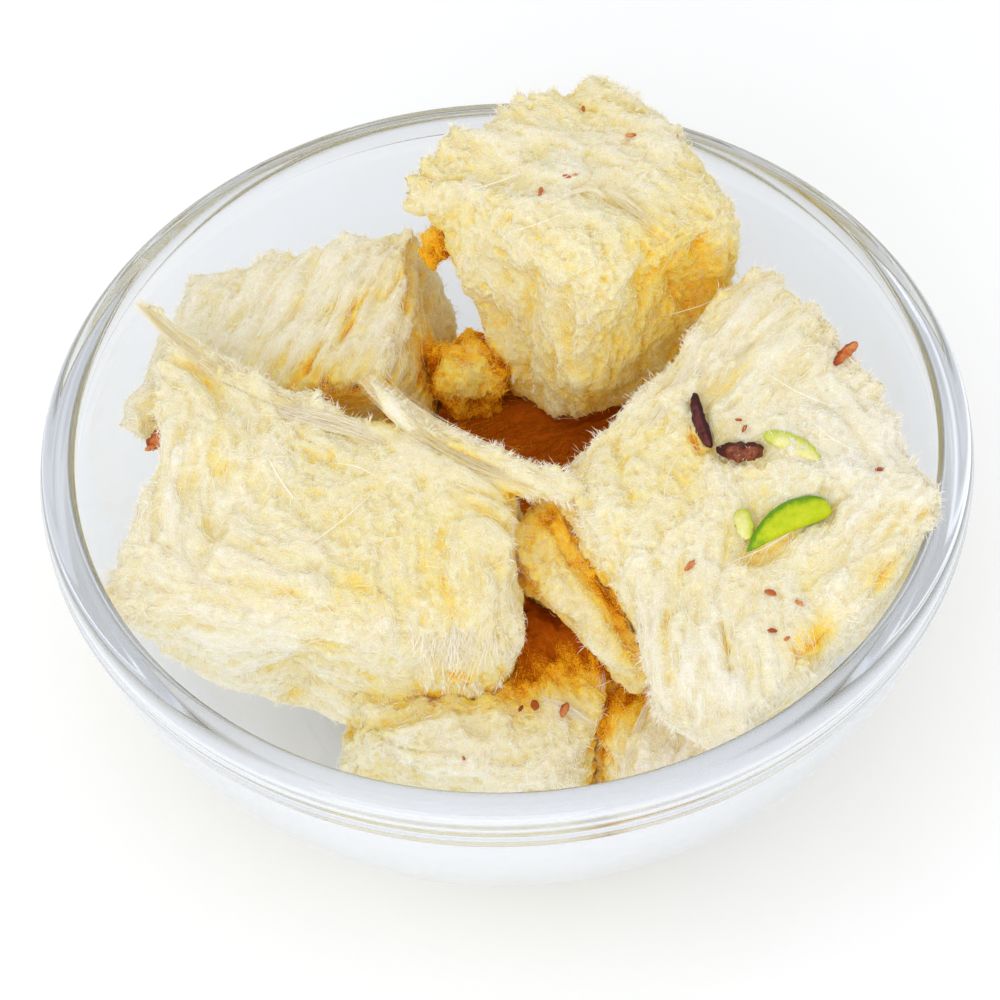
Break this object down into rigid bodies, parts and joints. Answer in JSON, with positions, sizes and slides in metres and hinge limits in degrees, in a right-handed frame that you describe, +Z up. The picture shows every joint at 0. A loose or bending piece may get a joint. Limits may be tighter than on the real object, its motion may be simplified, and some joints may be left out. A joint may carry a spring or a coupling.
{
  "type": "soan papdi in a glass bowl",
  "caption": "Torn blocks of flaky threadlike sweet with nut slivers, piled in a round clear glass bowl.",
  "frame": {"origin": "centre of the bowl's foot, on the surface it stands on", "axes": "+Z up; the side that the picture looks at faces -Y; +X is to the right in the picture"},
  "size_m": [0.12, 0.12, 0.067],
  "materials": {
    "clear_glass": "clear, polished",
    "flaky_sweet": "pale cream, matt, fibrous and torn",
    "green_nut": "satin, cut nut",
    "brown_nut": "matt, wrinkled skin"
  },
  "bodies": {
    "root": {"bowl": "clear_glass", "piece_top_back": "flaky_sweet", "piece_right": "flaky_sweet", "piece_left_front": "flaky_sweet", "piece_left_back": "flaky_sweet", "piece_middle": "flaky_sweet", "chunk": "flaky_sweet", "piece_bottom_front": "flaky_sweet", "piece_bottom_right": "flaky_sweet", "piece_bottom_back": "flaky_sweet"}
  },
  "joints": []
}
